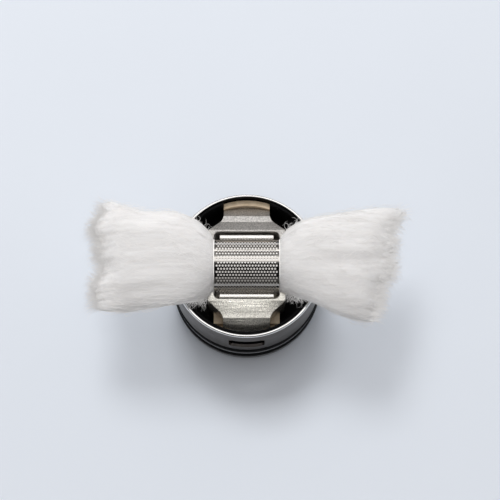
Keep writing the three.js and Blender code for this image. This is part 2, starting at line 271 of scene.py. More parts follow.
def remap(material, value, low, high, to_low, to_high):
    """A value's stretch from low to high, moved to another stretch."""
    node = material.node_tree.nodes.new("ShaderNodeMapRange")
    node.inputs["From Min"].default_value = low
    node.inputs["From Max"].default_value = high
    node.inputs["To Min"].default_value = to_low
    node.inputs["To Max"].default_value = to_high
    material.node_tree.links.new(value, node.inputs["Value"])
    return node.outputs["Result"]


def vary_roughness(material, value, to_low, to_high, low=0.35, high=0.65):
    """Moves the roughness between two values with a pattern."""
    shader = material.node_tree.nodes["Principled BSDF"]
    result = remap(material, value, low, high, to_low, to_high)
    material.node_tree.links.new(result, shader.inputs["Roughness"])


def vary_colour(material, value, dark, light, low=0.35, high=0.65):
    """Blends the base colour from dark to light with a value."""
    nodes, links = material.node_tree.nodes, material.node_tree.links
    mix = nodes.new("ShaderNodeMix")
    mix.data_type = "RGBA"
    mix.inputs["A"].default_value = (*dark, 1)
    mix.inputs["B"].default_value = (*light, 1)
    links.new(remap(material, value, low, high, 0, 1), mix.inputs["Factor"])
    links.new(mix.outputs["Result"], nodes["Principled BSDF"].inputs["Base Color"])


def paint_shade_forward(material, from_y, to_y):
    """Paints shade: fades the base colour from all of it at one depth to a tenth at another, in millimetres
    along Y.
    """
    nodes, links = material.node_tree.nodes, material.node_tree.links
    place = nodes.new("ShaderNodeTexCoord")
    parts = nodes.new("ShaderNodeSeparateXYZ")
    links.new(place.outputs["Object"], parts.inputs["Vector"])
    share = remap(material, parts.outputs["Y"], to_y * MM, from_y * MM, 0.1, 1.0)
    shader = nodes["Principled BSDF"]
    scale = nodes.new("ShaderNodeVectorMath")
    scale.operation = "SCALE"
    links.new(shader.inputs["Base Color"].links[0].from_socket, scale.inputs["Vector"])
    links.new(share, scale.inputs["Scale"])
    links.new(scale.outputs["Vector"], shader.inputs["Base Color"])


def add_bump(material, value, height_mm, strength=1.0):
    """Adds a bump of a height, on top of any bump already there."""
    nodes, links = material.node_tree.nodes, material.node_tree.links
    normal = nodes["Principled BSDF"].inputs["Normal"]
    node = nodes.new("ShaderNodeBump")
    node.inputs["Distance"].default_value = height_mm * MM
    node.inputs["Strength"].default_value = strength
    if normal.is_linked:
        links.new(normal.links[0].from_socket, node.inputs["Normal"])
    links.new(value, node.inputs["Height"])
    links.new(node.outputs["Normal"], normal)


# ---- materials ----


def sleeve_steel_painted_shade():
    """Satin steel with fine turning lines round the wall, its colour set far darker than steel's as painted
    shade.
    """
    # painted shade: the colour is far darker than steel's, for the shade the wall reflects
    steel = new_material("sleeve_steel_painted_shade", (0.122, 0.111, 0.104), 0.36, 1.0)
    lines = noise_pattern(steel, (250, 250, 42000), 3)
    add_bump(steel, lines, 0.004, 0.5)
    vary_roughness(steel, noise_pattern(steel, (900, 900, 5000)), 0.3, 0.42)
    return steel


def rim_steel():
    """The sleeve's turned and polished top face."""
    steel = new_material("rim_steel", (0.8, 0.79, 0.775), 0.14, 1.0)
    add_bump(steel, noise_pattern(steel, (3000, 3000, 3000), 3), 0.002, 0.3)
    vary_roughness(steel, noise_pattern(steel, (900, 900, 900)), 0.1, 0.22)
    return steel


def milled_steel(name, colour, rough, cross, metallic):
    """Milled steel: tool lines along X, scratches across them at an angle, and small specks."""
    steel = new_material(name, colour, rough, metallic)
    milled = noise_pattern(steel, (260, 17000, 17000), 5, roughness=0.65)
    scratched = noise_pattern(steel, (9000, 1300, 1300), 4, turn=(0, 0, 0.75), roughness=0.65)
    specks = noise_pattern(steel, (8000, 8000, 8000), 3)
    add_bump(steel, milled, 0.014 - 0.007 * cross, 0.9)
    add_bump(steel, scratched, 0.016 * cross, 0.8)
    add_bump(steel, specks, 0.008, 0.7)
    vary_roughness(steel, milled, rough - 0.12, rough + 0.12)
    vary_colour(steel, specks, [0.68 * c for c in colour], [min(1.2 * c, 1) for c in colour])
    return steel


def post_steel_rear():
    """The rear post: scratched across, and a little dull, so it isn't quite all mirror."""
    return milled_steel("post_steel_rear", (0.68, 0.655, 0.625), 0.4, 1.0, 0.8)


def post_steel_front():
    """The front post: brighter, with clear tool lines along it."""
    return milled_steel("post_steel_front", (0.86, 0.815, 0.74), 0.34, 0.3, 0.95)


def bar_steel():
    """Ground steel with fine lines along the bar."""
    steel = new_material("bar_steel", (0.86, 0.83, 0.785), 0.2, 1.0)
    ground = noise_pattern(steel, (500, 26000, 26000), 4)
    add_bump(steel, ground, 0.004, 0.6)
    vary_roughness(steel, noise_pattern(steel, (3000, 3000, 3000)), 0.15, 0.28)
    return steel


def base_steel_painted_shade():
    """Polished steel with faint turning lines and handling marks, its colour darkened as painted shade for the
    contact shadow the flange reflects.
    """
    # painted shade: darkened well below steel's colour; the screws share it
    steel = new_material("base_steel_painted_shade", (0.27, 0.265, 0.26), 0.12, 1.0)
    add_bump(steel, noise_pattern(steel, (300, 300, 30000), 3), 0.002, 0.4)
    vary_roughness(steel, noise_pattern(steel, (700, 700, 700), 5), 0.08, 0.2)
    return steel


def strip_alloy():
    """Thin etched resistance foil, slightly grained."""
    alloy = new_material("strip_alloy", (0.57, 0.54, 0.505), 0.12, 1.0)
    add_bump(alloy, noise_pattern(alloy, (9000, 9000, 9000), 3), 0.002, 0.25)
    vary_roughness(alloy, noise_pattern(alloy, (1500, 6000, 6000)), 0.09, 0.17)
    return alloy


def gold_plate():
    """Gold plating, slightly worn."""
    gold = new_material("gold_plate", (0.83, 0.6, 0.25), 0.24, 1.0)
    add_bump(gold, noise_pattern(gold, (4000, 4000, 4000), 3), 0.003, 0.3)
    vary_roughness(gold, noise_pattern(gold, (1200, 1200, 1200)), 0.18, 0.34)
    return gold


def tan_peek():
    """Machined tan plastic, a little mottled."""
    peek = new_material("tan_peek", (0.76, 0.61, 0.43), 0.5, Specular_IOR_Level=0.4)
    mottle = noise_pattern(peek, (1400, 1400, 1400), 4)
    vary_colour(peek, mottle, (0.7, 0.555, 0.38), (0.84, 0.69, 0.51))
    add_bump(peek, noise_pattern(peek, (1200, 9000, 9000), 3), 0.005, 0.5)
    vary_roughness(peek, mottle, 0.42, 0.6)
    return peek


def black_plastic_and_painted_shade():
    """Dull black plastic with a moulded grain; on the sleeve's inside faces it is painted shade."""
    black = new_material("black_plastic_and_painted_shade", (0.003, 0.003, 0.0033), 0.6, Specular_IOR_Level=0.1)
    add_bump(black, noise_pattern(black, (6000, 6000, 6000), 3), 0.006, 0.5)
    vary_roughness(black, noise_pattern(black, (1500, 1500, 1500)), 0.5, 0.72)
    return black


def black_rubber():
    """Smooth rubber with a slight bloom."""
    rubber = new_material("black_rubber", (0.003, 0.003, 0.0033), 0.55, Specular_IOR_Level=0.06)
    bloom = noise_pattern(rubber, (900, 900, 1800), 4)
    vary_colour(rubber, bloom, (0.002, 0.002, 0.0022), (0.004, 0.004, 0.0044))
    vary_roughness(rubber, bloom, 0.4, 0.6)
    add_bump(rubber, noise_pattern(rubber, (5000, 5000, 5000), 2), 0.003, 0.4)
    return rubber


def cotton_body():
    """White carded cotton: soft, lit through, with faint streaks along the fibres."""
    cotton = new_material(
        "cotton_body",
        (0.82, 0.815, 0.812),
        1.0,
        Subsurface_Weight=0.75,
        Subsurface_Scale=0.0014,
        Sheen_Weight=0.15,
        Sheen_Roughness=0.6,
        Specular_IOR_Level=0.08,
    )
    shader = cotton.node_tree.nodes["Principled BSDF"]
    shader.inputs["Subsurface Radius"].default_value = (1.0, 0.97, 0.93)
    streaks = noise_pattern(cotton, (140, 2200, 2200), 6, roughness=0.7)
    vary_colour(cotton, streaks, (0.76, 0.752, 0.748), (0.85, 0.845, 0.842))
    add_bump(cotton, streaks, 0.02, 0.35)
    add_bump(cotton, noise_pattern(cotton, (900, 14000, 14000), 4), 0.008, 0.45)
    return cotton


def cotton_core():
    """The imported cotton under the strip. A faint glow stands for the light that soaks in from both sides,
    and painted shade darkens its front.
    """
    core = new_material(
        "cotton_core",
        (0.93, 0.92, 0.905),
        1.0,
        Specular_IOR_Level=0.05,
        Emission_Color=(1.0, 0.96, 0.92, 1.0),
        Emission_Strength=0.18,
    )
    weave = noise_pattern(core, (900, 5000, 5000), 3)
    vary_colour(core, weave, (0.9, 0.895, 0.885), (0.95, 0.945, 0.935))
    add_bump(core, weave, 0.01, 0.4)
    # painted shade: the core's colour fades to a tenth towards the front of the strip
    paint_shade_forward(core, -1.5, -2.3)
    return core


def cotton_fibre():
    """Loose cotton fibres, with a slight change of shade from fibre to fibre."""
    fibre = new_material("cotton_fibre", (0.92, 0.91, 0.9), 0.9, Specular_IOR_Level=0.1)
    shades = noise_pattern(fibre, (150, 4000, 4000), 2)
    vary_colour(fibre, shades, (0.88, 0.87, 0.86), (0.95, 0.943, 0.935))
    return fibre


def table_white():
    """A plain pale table top, very slightly cool, with a faint satin grain."""
    table = new_material("table_white", (0.8, 0.85, 0.92), 0.6, Specular_IOR_Level=0.2)
    vary_colour(table, noise_pattern(table, (14, 14, 14), 3), (0.79, 0.84, 0.91), (0.81, 0.86, 0.93))
    add_bump(table, noise_pattern(table, (1500, 1500, 1500), 3), 0.01, 0.15)
    return table


finishes = {
    make.__name__: make()
    for make in (
        sleeve_steel_painted_shade,
        rim_steel,
        post_steel_rear,
        post_steel_front,
        bar_steel,
        base_steel_painted_shade,
        strip_alloy,
        gold_plate,
        tan_peek,
        black_plastic_and_painted_shade,
        black_rubber,
        cotton_body,
        cotton_core,
        cotton_fibre,
        table_white,
    )
}

# ---- cup ----


def make_sleeve():
    """The thin wall: bright rim with a small outer chamfer, painted black inside as painted shade, and a
    window front and rear.
    """
    chamfer = 0.1
    outline = [
        (WALL_INNER_R, WALL_FOOT_Z),
        (WALL_OUTER_R, WALL_FOOT_Z),
        (WALL_OUTER_R, RIM_Z - 1.6 * chamfer),
        (WALL_OUTER_R - chamfer, RIM_Z),
        (WALL_INNER_R, RIM_Z),
    ]
    wall = lathe("deck_sleeve_fine", fillet(outline, 0.03, 2))
    cut(wall, rounded_slab("window_tool", WINDOW_HALF, *WINDOW_Z, WINDOW_CORNER_R, 9))
    finish_piece(wall, "deck", finishes["sleeve_steel_painted_shade"], ["deck_sleeve"])
    wall.data.materials.append(finishes["rim_steel"])
    wall.data.materials.append(finishes["black_plastic_and_painted_shade"])
    for face in wall.data.polygons:
        if face.center.z > (RIM_Z - 0.1) * MM and face.normal.z > 0.5:
            face.material_index = 1
        # painted shade: the wall's inside faces take the black plastic
        elif face.center.z < (RIM_Z - 0.03) * MM and face.center.xy.length < (WALL_INNER_R + 0.02) * MM:
            face.material_index = 2


def make_base():
    """The base: flange, two ring grooves and the land between them, bored for the pin and the screws."""
    edge = 0.14
    r = WALL_OUTER_R
    outline = [
        (bush_high.x + 0.05, 0),
        (r - edge, 0),
        (r, edge),
        (r, FLANGE_TOP_Z - edge),
        (r - edge, FLANGE_TOP_Z),
        (GROOVE_R, FLANGE_TOP_Z),
        (GROOVE_R, LAND_Z[0]),
        (r - edge / 2, LAND_Z[0]),
        (r, LAND_Z[0] + edge / 2),
        (r, LAND_Z[1]),
        (GROOVE_R, LAND_Z[1]),
        (GROOVE_R, WALL_FOOT_Z),
        (WALL_INNER_R - 0.05, WALL_FOOT_Z),
        (WALL_INNER_R - 0.05, BASE_TOP_Z),
        (1.75, BASE_TOP_Z),
        (1.75, 1.65),
        (bush_high.x + 0.05, 1.65),
    ]
    base = lathe("deck_base_fine", fillet(outline, 0.05, 2))
    for side in ("left", "right"):
        for place, radius, high in (("front", 1.35, 1.15), ("rear", 1.5, 1.5)):
            low_corner, high_corner = box_mm(f"post_screw_{place}_{side}")
            middle = (low_corner + high_corner) / 2
            hole = [(0, -1), (radius, -1), (radius, high), (1.0, high), (1.0, 6), (0, 6)]
            tool = lathe("screw_hole", hole, 48)
            move_mm(tool, middle.x, middle.y, 0)
            cut(base, tool)
    return finish_piece(base, "deck", finishes["base_steel_painted_shade"], ["deck_base"])


def move_mm(obj, x, y, z):
    """Moves an object's mesh."""
    for vertex in obj.data.vertices:
        vertex.co += Vector((x, y, z))


def make_oring(name, node):
    """A sealing ring with a round section."""
    low, high = box_mm(node)
    half = (high.z - low.z) / 2
    middle_r = high.x - half
    middle_z = (high.z + low.z) / 2
    turns = [2 * math.pi * n / 28 for n in range(28)]
    outline = [(middle_r + half * math.cos(a), middle_z + half * math.sin(a)) for a in turns]
    ring = lathe(name, outline)
    return finish_piece(ring, "deck", finishes["black_rubber"], [node], 60)


# ---- screws and pins ----


def make_screw(name, node, body, along, head_r, shank_r, head_low, head_high, far, finish, drive):
    """A slotted screw turned about its own axis, standing along Z or Y, with its drive in the outer face."""
    low, high = box_mm(node)
    middle = (low + high) / 2
    top = 0.12 if head_high > head_low else -0.12
    outline = [
        (0, head_high),
        (head_r - 0.12, head_high),
        (head_r, head_high - top),
        (head_r, head_low),
        (shank_r, head_low),
    ]
    turns = 8
    start, step = head_low, (far - head_low) / (2 * turns + 1)
    for n in range(2 * turns):
        start += step
        outline.append((shank_r - (0.1 if n % 2 else 0.0), start))
    outline.append((shank_r - 0.15, far))
    outline.append((0, far))
    screw = lathe(name, outline, 64, along)
    half, deep = drive
    reach = head_r + 1
    sides = sorted((head_high - math.copysign(deep, top), head_high + math.copysign(1, top)))
    if along == "Z":
        tool = block("drive_tool", (-reach, -half, sides[0]), (reach, half, sides[1]))
        cut(screw, tool)
        move_mm(screw, middle.x, middle.y, 0)
    else:
        tool = block("drive_tool", (-reach, sides[0], -half), (reach, sides[1], half))
        cut(screw, tool)
        move_mm(screw, 0, 0, middle.z)
    return finish_piece(screw, body, finishes[finish], [node], 40)


def make_screws():
    """The clamp screws, the four screws that hold the posts, and the centre pin."""
    for place, sign in (("rear", 1), ("front", -1)):
        low, high = box_mm(f"clamp_screw_{place}")
        near, far = (low.y, high.y) if sign > 0 else (high.y, low.y)
        make_screw(
            f"clamp_screw_{place}_fine", f"clamp_screw_{place}", f"{place}_screw", "Y",
            1.05, 0.8, far - sign * 0.6, far, near, "base_steel_painted_shade", (0.15, 0.3),
        )
        for side in ("left", "right"):
            node = f"post_screw_{place}_{side}"
            low, high = box_mm(node)
            make_screw(
                f"{node}_fine", node, "deck", "Z",
                1.25, 0.7, low.z + 1.0, low.z, high.z, "base_steel_painted_shade", (0.15, 0.35),
            )
    make_screw(
        "center_pin_fine", "center_pin", "deck", "Z",
        1.6, 0.95, pin_low.z + 1.1, pin_low.z, pin_high.z, "gold_plate", (0.3, 0.4),
    )


def make_bushes():
    """The bush round the centre pin, and the shoulder bushes under the rear post's screws."""
    outline = [
        (1.05, 1.25), (1.65, 1.25), (1.65, bush_low.z), (2.3, bush_low.z),
        (2.3, 1.6), (1.7, 1.6), (1.7, bush_high.z), (1.05, bush_high.z),
    ]
    bush = lathe("pin_insulator_fine", fillet(outline, 0.06, 2), 96)
    finish_piece(bush, "deck", finishes["tan_peek"], ["pin_insulator"])
    for side in ("left", "right"):
        low, high = box_mm(f"screw_bush_{side}")
        middle = (low + high) / 2
        outline = [
            (0.75, low.z), (1.45, low.z), (1.45, low.z + 0.35),
            (1.15, low.z + 0.35), (1.15, high.z), (0.75, high.z),
        ]
        bush = lathe(f"screw_bush_{side}_fine", fillet(outline, 0.05, 2), 64)
        move_mm(bush, middle.x, middle.y, 0)
        finish_piece(bush, "deck", finishes["tan_peek"], [f"screw_bush_{side}"])


# ---- posts, bars, pads and liner ----


def make_posts():
    """Makes the posts with their bars and pads, and the liner, and gives back the front post."""
    for place in ("rear", "front"):
        post = from_cad(f"post_{place}_fine", f"post_{place}", 0.06, 3)
        finish_piece(post, "deck", finishes[f"post_steel_{place}"], [f"post_{place}"])
        bar = from_cad(f"clamp_bar_{place}_fine", f"clamp_bar_{place}", 0.05, 3)
        finish_piece(bar, f"{place}_bar", finishes["bar_steel"], [f"clamp_bar_{place}"])
        pad = from_cad(f"post_pad_{place}_fine", f"post_pad_{place}", 0)
        if place == "front":
            half = WINDOW_HALF + 0.05
            cut(pad, block("pad_ledge_tool", (-half, -8, 4.8), (half, -7.17, 5.3)))
        bevel(pad, 0.06, 3)
        finish_piece(pad, "deck", finishes["tan_peek"], [f"post_pad_{place}"])
    liner = from_cad("well_liner_fine", "well_liner", 0)
    pad_low, pad_high = box_mm("post_pad_rear")
    gap_low = (pad_low.x - 0.05, 6, pad_high.z - 0.5)
    gap_high = (pad_high.x + 0.05, 8.5, RIM_Z)
    cut(liner, block("pad_gap_tool", gap_low, gap_high))
    bevel(liner, 0.04)
    finish_piece(liner, "deck", finishes["black_plastic_and_painted_shade"], ["well_liner"])
    return post


# ---- perforated strip ----
HOLE_COLUMNS = 21
HOLE_PITCH = 0.313
ROW_PITCH = 0.33
HOLE_R = 0.113
HOLE_SIDES = 16


def strip_place(u, s):
    """Where a point of the flat strip goes: u across it, s along it from the top of the arch."""
    radius = STRIP_OUTER_R - STRIP_THICK / 2
    quarter = radius * math.pi / 2
    if abs(s) <= quarter:
        return (u, radius * math.sin(s / radius), COIL_Z + radius * math.cos(s / radius))
    return (u, math.copysign(radius, s), COIL_Z - (abs(s) - quarter))


def holed_cell(shell, cell_points, x, s):
    """One cell of the strip: a rectangle with a round hole. Neighbours share their edge points."""
    half_x, half_s = HOLE_PITCH / 2, ROW_PITCH / 2
    edge = [(1, 0), (1, 1), (0, 1), (-1, 1), (-1, 0), (-1, -1), (0, -1), (1, -1)]
    rim = [cell_points(x + a * half_x, s + b * half_s) for a, b in edge]
    turns = [2 * math.pi * k / HOLE_SIDES for k in range(HOLE_SIDES)]
    hole = [shell.verts.new(strip_place(x + HOLE_R * math.cos(a), s + HOLE_R * math.sin(a))) for a in turns]
    for k in range(8):
        m = (k + 1) % 8
        shell.faces.new((rim[k], rim[m], hole[(2 * k + 2) % HOLE_SIDES], hole[2 * k + 1], hole[2 * k]))


def plain_cell(shell, cell_points, x0, x1, s):
    """A solid stretch of a row, from x0 to x1."""
    half_s = ROW_PITCH / 2
    corners = [(x0, s - half_s), (x1, s - half_s), (x1, s + half_s), (x0, s + half_s)]
    shell.faces.new([cell_points(*corner) for corner in corners])


def make_strip():
    """The strip: staggered rows of round holes between solid margins, bent over the wick."""
    shell = bmesh.new()
    known = {}

    def cell_points(x, s):
        """The shared point at a place on the flat strip, made the first time it's asked for."""
        key = (round(x, 4), round(s, 4))
        if key not in known:
            known[key] = shell.verts.new(strip_place(x, s))
        return known[key]

    half_wide = strip_high.x
    half_holed = HOLE_COLUMNS * HOLE_PITCH / 2
    radius = STRIP_OUTER_R - STRIP_THICK / 2
    half_long = radius * math.pi / 2 + COIL_Z - strip_low.z
    rows = int(half_long / ROW_PITCH - 0.5)
    for row in range(-rows, rows + 1):
        s = row * ROW_PITCH
        shifted = row % 2
        count = HOLE_COLUMNS - shifted
        for column in range(count):
            x = (column - (count - 1) / 2) * HOLE_PITCH
            holed_cell(shell, cell_points, x, s)
        for side in (-1, 1):
            end = side * half_holed
            if shifted:
                inner = end - side * HOLE_PITCH / 2
                plain_cell(shell, cell_points, inner, end, s)
            plain_cell(shell, cell_points, end, side * half_wide, s)
    mesh = bpy.data.meshes.new("mesh_strip_fine")
    bmesh.ops.remove_doubles(shell, verts=shell.verts, dist=1e-4)
    bmesh.ops.recalc_face_normals(shell, faces=shell.faces)
    shell.to_mesh(mesh)
    shell.free()
    strip = bpy.data.objects.new("mesh_strip_fine", mesh)
    bpy.context.scene.collection.objects.link(strip)
    thicken = strip.modifiers.new("thick", "SOLIDIFY")
    thicken.thickness = STRIP_THICK
    thicken.offset = 0
    apply_modifiers(strip)
    return finish_piece(strip, "deck", finishes["strip_alloy"], ["mesh_strip"])


# ---- cotton wick ----
# Stations along the wick: x, middle y, half width, bottom z, top z.
WICK = np.array([
    (-15.5, 0.85, 5.9, 9.3, 9.9),
    (-14.4, 0.8, 6.1, 8.7, 10.9),
    (-12.8, 0.5, 5.8, 8.4, 11.7),
    (-10.8, 0.3, 5.4, 8.8, 12.05),
    (-8.4, 0.35, 5.2, 9.1, 12.15),
    (-7.0, 0.3, 4.95, 8.95, 12.1),
    (-5.6, 0.25, 4.5, 8.3, 11.9),
    (-4.7, 0.2, 4.05, 7.5, 11.65),
    (-3.95, 0.1, 3.5, 6.4, 11.3),
    (-3.5, 0.0, 2.88, 5.8, 11.05),
    (3.5, 0.0, 2.88, 5.8, 11.05),
    (3.95, 0.2, 3.3, 6.4, 11.3),
    (4.7, 0.3, 3.7, 7.5, 11.65),
    (5.6, 0.25, 4.15, 8.3, 11.9),
    (7.2, 0.1, 4.75, 9.0, 12.1),
    (8.7, -0.15, 5.3, 9.1, 12.15),
    (10.2, -0.2, 5.75, 9.0, 12.0),
    (12.0, -0.2, 6.15, 8.6, 11.8),
    (13.6, -0.2, 6.35, 8.7, 11.1),
    (14.8, -0.2, 6.3, 9.3, 9.9),
])
WICK_SLANT = 0.22  # the +X end is cut at a slant in plan
SLANT_FROM_X = 8.0
HELD_X = 3.5  # the strip holds the wick out to here
RAGGED_FROM_X = 12.5
# How the ends are ragged in plan: waves per millimetre, phase and height.
TUFTS = [(0.8, 0.4, 0.36), (1.9, 2.0, 0.22), (4.3, 1.1, 0.08), (8.7, 0.5, 0.06), (15.0, 2.6, 0.05)]


def wick_station(share):
    """The sections at shares of the way along the stations, on smooth curves through them."""
    place = np.clip(share, 0.0, 1.0) * (len(WICK) - 1)
    n = np.minimum(place.astype(int), len(WICK) - 2)
    t = (place - n)[..., None]
    before, low, high, after = (WICK[np.clip(n + k, 0, len(WICK) - 1)] for k in (-1, 0, 1, 2))
    held = (np.abs(low[..., :1]) <= HELD_X) & (np.abs(high[..., :1]) <= HELD_X)
    slope_low = np.where(held, high - low, (high - before) / 2)
    slope_high = np.where(held, high - low, (after - low) / 2)
    leaving = np.abs(low[..., :1]) <= HELD_X
    arriving = np.abs(high[..., :1]) <= HELD_X
    slope_low = np.where(leaving & ~arriving, high - low, slope_low)
    slope_high = np.where(arriving & ~leaving, high - low, slope_high)
    curve = (2 * t**3 - 3 * t**2 + 1) * low + (t**3 - 2 * t**2 + t) * slope_low
    return curve + (3 * t**2 - 2 * t**3) * high + (t**3 - t**2) * slope_high


def clear_of_posts(x, y, z):
    """Keeps the wick inside the strip's bore, between the jaws, and off the posts' ears."""
    held = np.abs(x) < HELD_X
    reach = np.maximum(np.hypot(y, z - COIL_Z), 1e-6)
    squeeze = np.where(held & (z > COIL_Z) & (reach > COIL_BORE_R), COIL_BORE_R / reach, 1.0)
    y = y * squeeze
    z = np.where(squeeze < 1, COIL_Z + (z - COIL_Z) * squeeze, z)
    between_jaws = 2.15 + np.maximum(z - 8.0, 0) * 3
    beside_ears = np.where(z < 9.0, 2.88, 9.0)
    room = np.where(held, between_jaws, np.where(np.abs(x) < 4.15, beside_ears, 9.0))
    return np.clip(y, -room, room), z


def end_tufts(x, y):
    """How far the wick's ends stand out at each depth, growing from nothing towards the ends."""
    side = np.sign(x)
    rise = sum(height * np.sin(waves * y + phase + 1.7 * side) for waves, phase, height in TUFTS)
    return side * rise * np.clip((np.abs(x) - RAGGED_FROM_X) / 2.4, 0, 1) ** 1.5


def wick_point(share, turn, depth=1.0):
    """Points of the wick: round it by turn, at depth 1 on its skin and at 0 on its middle line."""
    x, middle, half, bottom, top = np.moveaxis(wick_station(share), -1, 0)
    y = middle + depth * half * np.cos(turn)
    z = (bottom + top) / 2 + depth * (top - bottom) / 2 * np.sin(turn)
    y, z = clear_of_posts(x, y, z)
    slant = WICK_SLANT * np.clip((x - SLANT_FROM_X) / (WICK[-1][0] - SLANT_FROM_X), 0, 1) * y
    return np.stack([x + slant + end_tufts(x, y), y, z], axis=-1)


def make_waves(seed, count, around, along, height):
    """Random waves over the wick: how many go round it, how fast they run along it, phase and height."""
    dice = np.random.default_rng(seed)
    rounds = dice.integers(around[0], around[1] + 1, count)
    slopes = dice.uniform(-along, along, count)
    phases = dice.uniform(0, 2 * np.pi, count)
    heights = height * dice.uniform(0.5, 1.0, count) / math.sqrt(count)
    return list(zip(rounds, slopes, phases, heights))


FOLDS = make_waves(3, 14, (1, 5), 0.35, 0.2)
LOCKS = make_waves(5, 26, (6, 16), 0.5, 0.07)
STRANDS = make_waves(7, 40, (24, 80), 1.3, 0.016)


def loosened(x):
    """From 0 where the strip holds the wick to 1 at its free ends."""
    return np.clip((np.abs(x) - HELD_X) / 7.0, 0.0, 1.0)


def flattened(x):
    """From 1 along the wick down to 0.35 at its thin ends."""
    return 1 - 0.65 * np.clip((np.abs(x) - RAGGED_FROM_X) / 2.0, 0.0, 1.0)


def wick_skin(share, turn, depth=1.0):
    """Points of the wick's uneven skin, and the direction out of it at each."""
    place = wick_point(share, turn, depth)
    out = place - wick_point(share, turn, 0.0)
    out = out / np.maximum(np.linalg.norm(out, axis=-1, keepdims=True), 1e-6)
    x = place[..., 0]
    rise = np.zeros_like(x)
    for waves, held_share in ((FOLDS, 0.0), (LOCKS, 0.0), (STRANDS, 0.3)):
        size = held_share + (1 - held_share) * loosened(x)
        for rounds, slope, phase, height in waves:
            rise = rise + size * height * np.sin(rounds * turn + slope * x + phase)
    rise = rise * depth * flattened(x) - 0.12 * loosened(x)
    return place + out * rise[..., None], out


WICK_LONG = 330
WICK_ROUND = 220
CAP_RINGS = 18


def make_wick_body():
    """The wick's mass: one closed skin with uneven cut ends."""
    inward = (np.arange(1, CAP_RINGS) / CAP_RINGS) ** 0.6
    caps = CAP_RINGS - 1
    shares = np.concatenate([np.zeros(caps), np.linspace(0, 1, WICK_LONG + 1), np.ones(caps)])
    depths = np.concatenate([inward, np.ones(WICK_LONG + 1), inward[::-1]])
    ends = np.where(shares < 1e-6, -1, np.where(shares > 1 - 1e-6, 1, 0))[:, None]
    turns = np.linspace(0, 2 * np.pi, WICK_ROUND, endpoint=False)[None, :]
    grid = np.ones_like(turns)
    points = wick_skin(shares[:, None] * grid, turns + 0 * shares[:, None], depths[:, None] * grid)[0]
    points[..., 0] += ends * 0.15 * (1 - depths[:, None] ** 4)
    rings = len(shares)
    corner = np.arange(rings * WICK_ROUND).reshape(rings, WICK_ROUND)
    ahead = np.roll(corner, -1, axis=1)
    faces = np.stack([corner[:-1], ahead[:-1], ahead[1:], corner[1:]], axis=-1).reshape(-1, 4).tolist()
    faces += [corner[0].tolist(), corner[-1].tolist()]
    return make_object("cotton_wick_body", points.reshape(-1, 3), faces)


FIBRE_POINTS = 6
SKIN_FIBRES = 1900  # on each side of the strip
END_FIBRES = 3650
STRAY_FIBRES = 420
FIBRE_R = (0.009, 0.018)


def skin_fibres(dice, side):
    """Paths of fibres that lie along the wick and lift off it a little."""
    share = dice.uniform(0.0, 0.47, (SKIN_FIBRES, 1))
    turn = dice.uniform(0, 2 * np.pi, (SKIN_FIBRES, 1))
    long = dice.uniform(0.02, 0.1, (SKIN_FIBRES, 1))
    drift = dice.normal(0, 0.09, (SKIN_FIBRES, 1))
    lift = dice.random((SKIN_FIBRES, 1)) ** 4 * 0.7
    t = np.linspace(0, 1, FIBRE_POINTS)[None, :]
    along = np.minimum(share + long * t, 0.473)
    along = along if side < 0 else 1 - along
    angle = turn + drift * t + 0.04 * np.sin(7 * t + turn)
    skin, out = wick_skin(along, angle)
    rise = lift * loosened(skin[..., 0]) * np.sin(np.pi * t) ** 0.7 + 0.01
    return skin + out * rise[..., None]


def end_fibres(dice, side):
    """Paths of fibres that stick out of a cut end."""
    share = dice.random((END_FIBRES, 1)) ** 1.2 * 0.05
    share = share if side < 0 else 1 - share
    turn = dice.uniform(0, 2 * np.pi, (END_FIBRES, 1))
    depth = dice.random((END_FIBRES, 1)) ** 0.35
    start = wick_skin(share, turn, depth)[0]
    fan = np.array([0.0, 0.3, 0.2])
    aim = np.array([side, 0.0, 0.0]) + dice.normal(0, 1, (END_FIBRES, 1, 3)) * fan
    curl = dice.normal(0, 1, (END_FIBRES, 1, 3)) * fan
    long = 0.4 + 1.1 * dice.random((END_FIBRES, 1, 1)) ** 1.4
    t = np.linspace(0, 1, FIBRE_POINTS)[None, :, None]
    return start + aim * long * t + curl * long * t**2


def stray_fibres(dice, side):
    """Paths of curly fibres that hang off the wick's edges over the well, just beside the strip."""
    share = dice.uniform(0.3, 0.455, (STRAY_FIBRES, 1))
    share = share if side < 0 else 1 - share
    turn = dice.uniform(-0.8, 0.1, (STRAY_FIBRES, 1))
    turn = np.where(dice.random((STRAY_FIBRES, 1)) < 0.7, np.pi - turn, turn)
    start, out = wick_skin(share, turn)
    aim = out + np.array([0.3 * side, 0.0, -0.2]) + dice.normal(0, 0.5, (STRAY_FIBRES, 1, 3))
    long = dice.uniform(0.1, 0.6, (STRAY_FIBRES, 1, 1))
    loop = dice.uniform(0.12, 0.4, (STRAY_FIBRES, 1, 1))
    phase = dice.uniform(0, 2 * np.pi, (STRAY_FIBRES, 1, 1))
    bend = dice.uniform(-4.5, 4.5, (STRAY_FIBRES, 1, 1))
    t = np.linspace(0, 1, FIBRE_POINTS)[None, :, None]
    turned = bend * t
    curl = np.concatenate([np.cos(turned + phase), np.sin(turned + phase), 0.5 * np.sin(turned)], axis=-1)
    return start + aim * long * t + loop * (curl - curl[:, :1])


